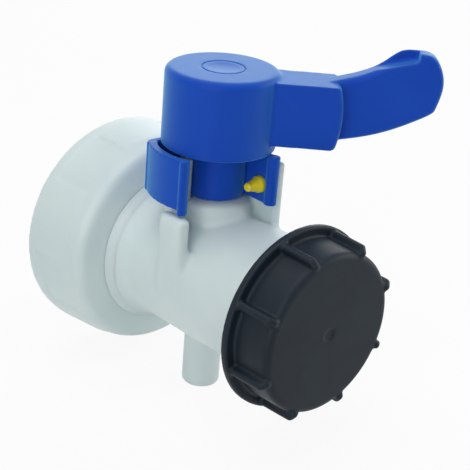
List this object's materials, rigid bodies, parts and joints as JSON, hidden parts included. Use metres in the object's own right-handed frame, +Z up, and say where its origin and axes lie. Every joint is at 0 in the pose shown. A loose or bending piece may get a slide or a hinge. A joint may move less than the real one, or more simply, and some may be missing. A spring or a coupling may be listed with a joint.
{
  "type": "ibc tank valve",
  "caption": "Butterfly outlet valve for a bulk liquid container: white body with union nut, blue lever with lock pin, black screw-on dust cap.",
  "frame": {"origin": "centre of the inlet mouth, in the plane of the union nut's rim", "axes": "+Y out of the inlet along the flow axis, outlet towards -Y, +Z up along the stem"},
  "size_m": [0.1143, 0.1345, 0.1552],
  "materials": {
    "natural_hdpe": "natural moulded polyethylene, satin",
    "blue_plastic": "moulded, semi-gloss",
    "yellow_plastic": "moulded, satin",
    "black_plastic": "moulded, fine texture",
    "white_acetal": "machined and moulded, satin",
    "rubber": "matt elastomer",
    "steel": "turned stainless steel"
  },
  "bodies": {
    "valve": {"valve_body": "natural_hdpe", "nut_retaining_ring": "white_acetal", "inlet_gasket": "rubber", "upper_stem_bush": "white_acetal", "lower_stem_bush": "white_acetal"},
    "nut": {"union_nut": "natural_hdpe"},
    "handle": {"lever_handle": "blue_plastic", "screw_cover": "blue_plastic", "handle_screw": "steel", "lock_collar": "blue_plastic", "collar_screws": "steel", "stem": "steel", "stem_o_rings": "rubber", "thrust_washer": "steel", "stem_circlip": "steel", "butterfly_disc": "white_acetal", "disc_seal": "rubber", "disc_pins": "steel"},
    "pin": {"lock_pin": "yellow_plastic"},
    "cap_seal": {"cap_gasket": "rubber"},
    "cap": {"dust_cap": "black_plastic"}
  },
  "joints": [
    {"name": "handle_turn", "type": "hinge", "parent": "valve", "child": "handle", "pos_m": [0, -0.063, 0], "axis": [0, 0, 1], "range_deg": [-90, 0]},
    {"name": "lock_pin_push", "type": "slide", "parent": "handle", "child": "pin", "axis": [1, 0, 0], "range_m": [0, 0.004]},
    {"name": "nut_swivel", "type": "hinge", "parent": "valve", "child": "nut", "pos_m": [0, 0, 0], "axis": [0, 1, 0], "continuous": true},
    {"name": "cap_travel", "type": "slide", "parent": "valve", "child": "cap_seal", "axis": [0, -1, 0], "range_m": [0, 0.015]},
    {"name": "cap_unscrew", "type": "hinge", "parent": "cap_seal", "child": "cap", "pos_m": [0, -0.129, 0], "axis": [0, -1, 0], "range_deg": [0, 900]}
  ],
  "couplings": [
    {"joint": "cap_travel", "follows": "cap_unscrew", "m_per_rad": 0.00095493}
  ]
}
